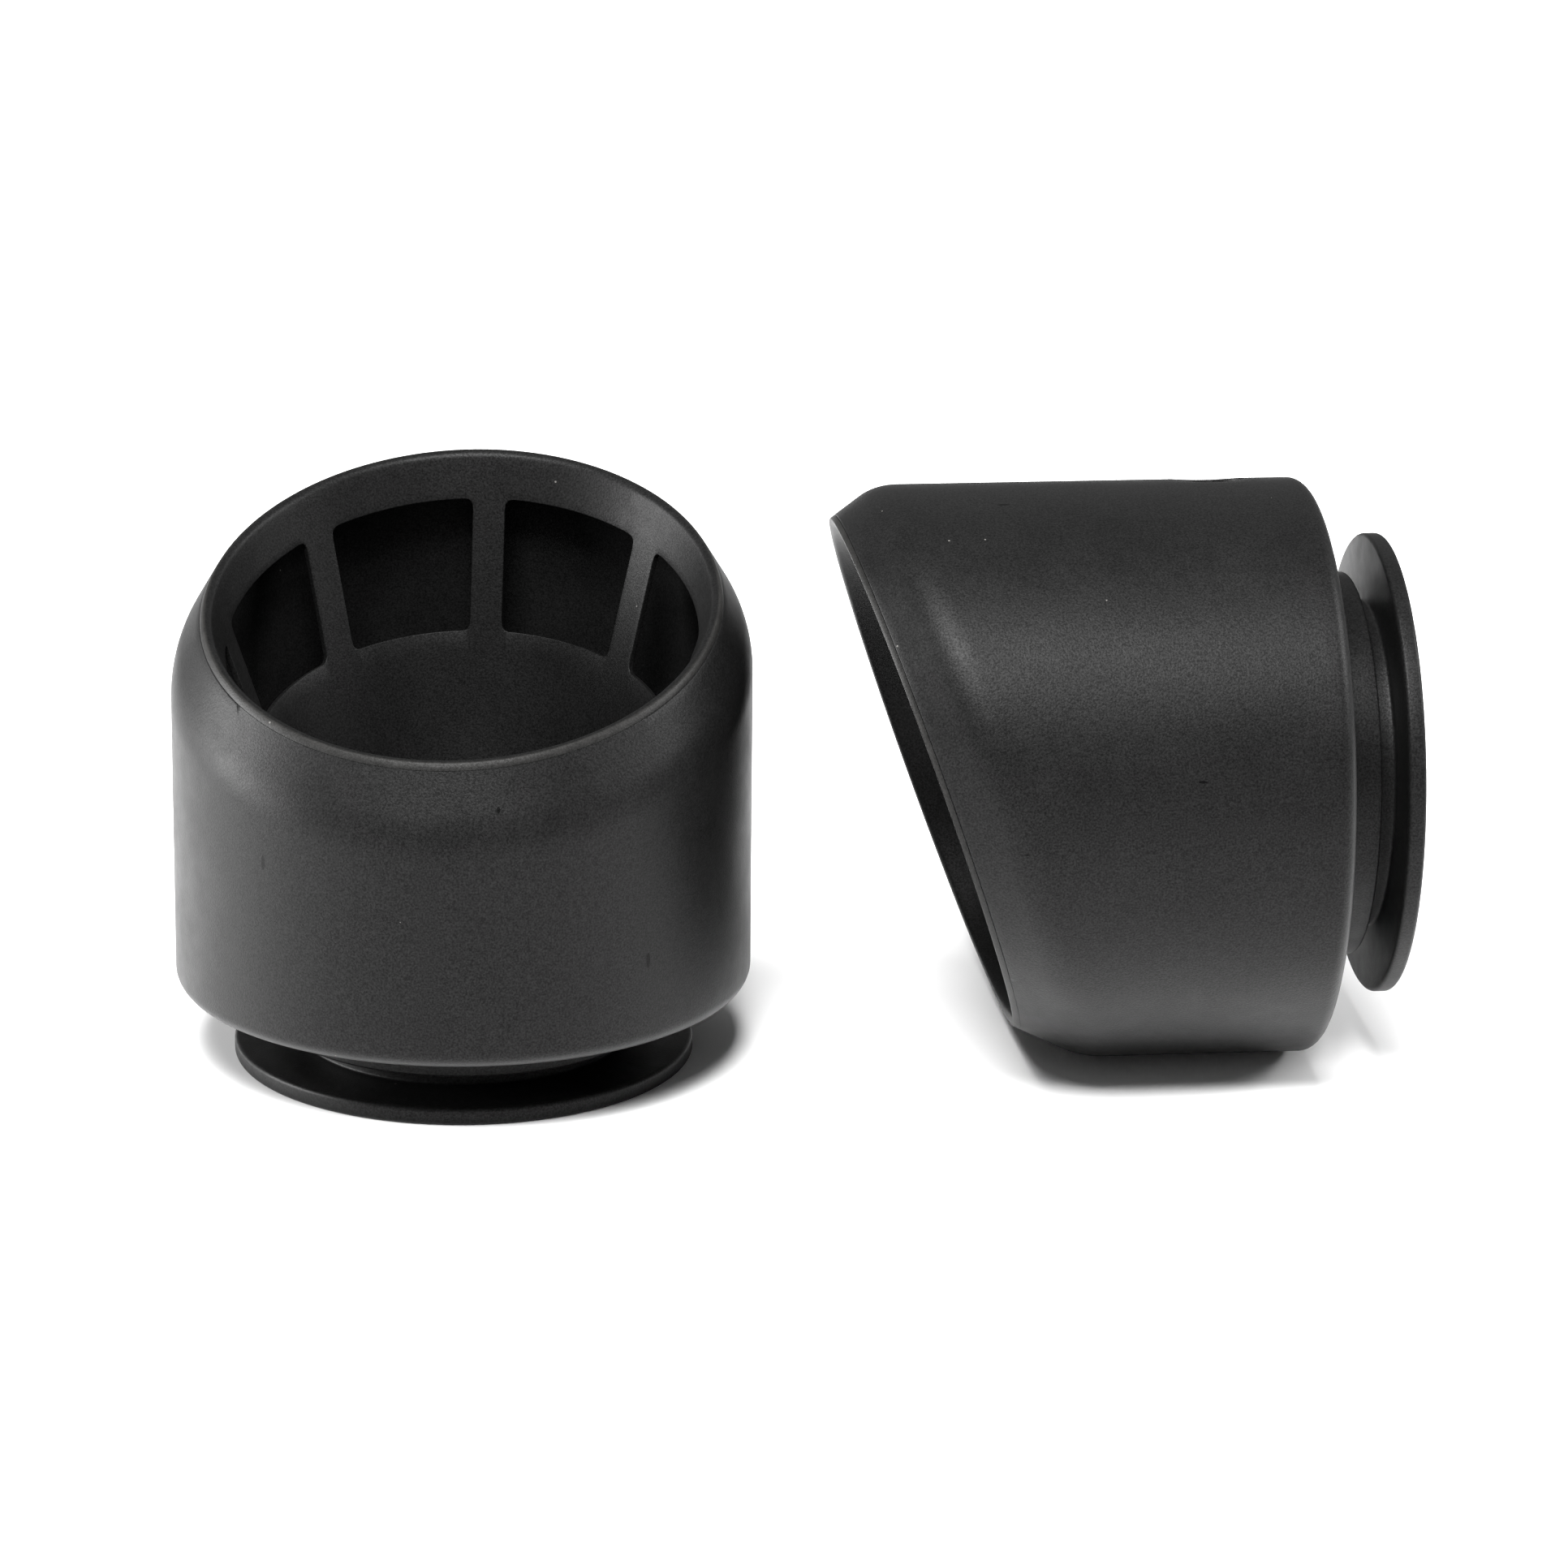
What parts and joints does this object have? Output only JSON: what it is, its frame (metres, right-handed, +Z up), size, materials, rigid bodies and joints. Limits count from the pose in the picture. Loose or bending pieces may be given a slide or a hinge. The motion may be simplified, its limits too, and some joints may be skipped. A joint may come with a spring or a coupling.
{
  "type": "pair of slant-mouthed hood cups",
  "caption": "Pair of matte black cups with a slanted mouth, a windowed inner funnel, a side port, and a collar, groove and flange at the base; one stands, one lies on its side.",
  "frame": {"origin": "middle of the pair's footprint, on the surface that it stands on", "axes": "+Z up; +X from the standing cup to the lying cup; +Y to the back, where the standing cup's long side is"},
  "size_m": [0.1284, 0.066, 0.06],
  "materials": {
    "hood_paint": "fine-grained matte charcoal",
    "funnel_paint": "fine-grained matte charcoal",
    "foot_paint": "fine-grained matte charcoal",
    "screw_steel": "black oxide"
  },
  "bodies": {
    "standing_cup": {"standing_hood": "hood_paint", "standing_plate": "hood_paint", "standing_funnel": "funnel_paint", "standing_foot": "foot_paint", "standing_screw": "screw_steel"},
    "lying_cup": {"lying_hood": "hood_paint", "lying_plate": "hood_paint", "lying_funnel": "funnel_paint", "lying_foot": "foot_paint", "lying_screw": "screw_steel"}
  },
  "joints": [
    {"name": "lying_cup_lift", "type": "slide", "parent": "standing_cup", "child": "lying_cup", "axis": [0, 0, 1], "range_m": [0, 0.08]}
  ]
}
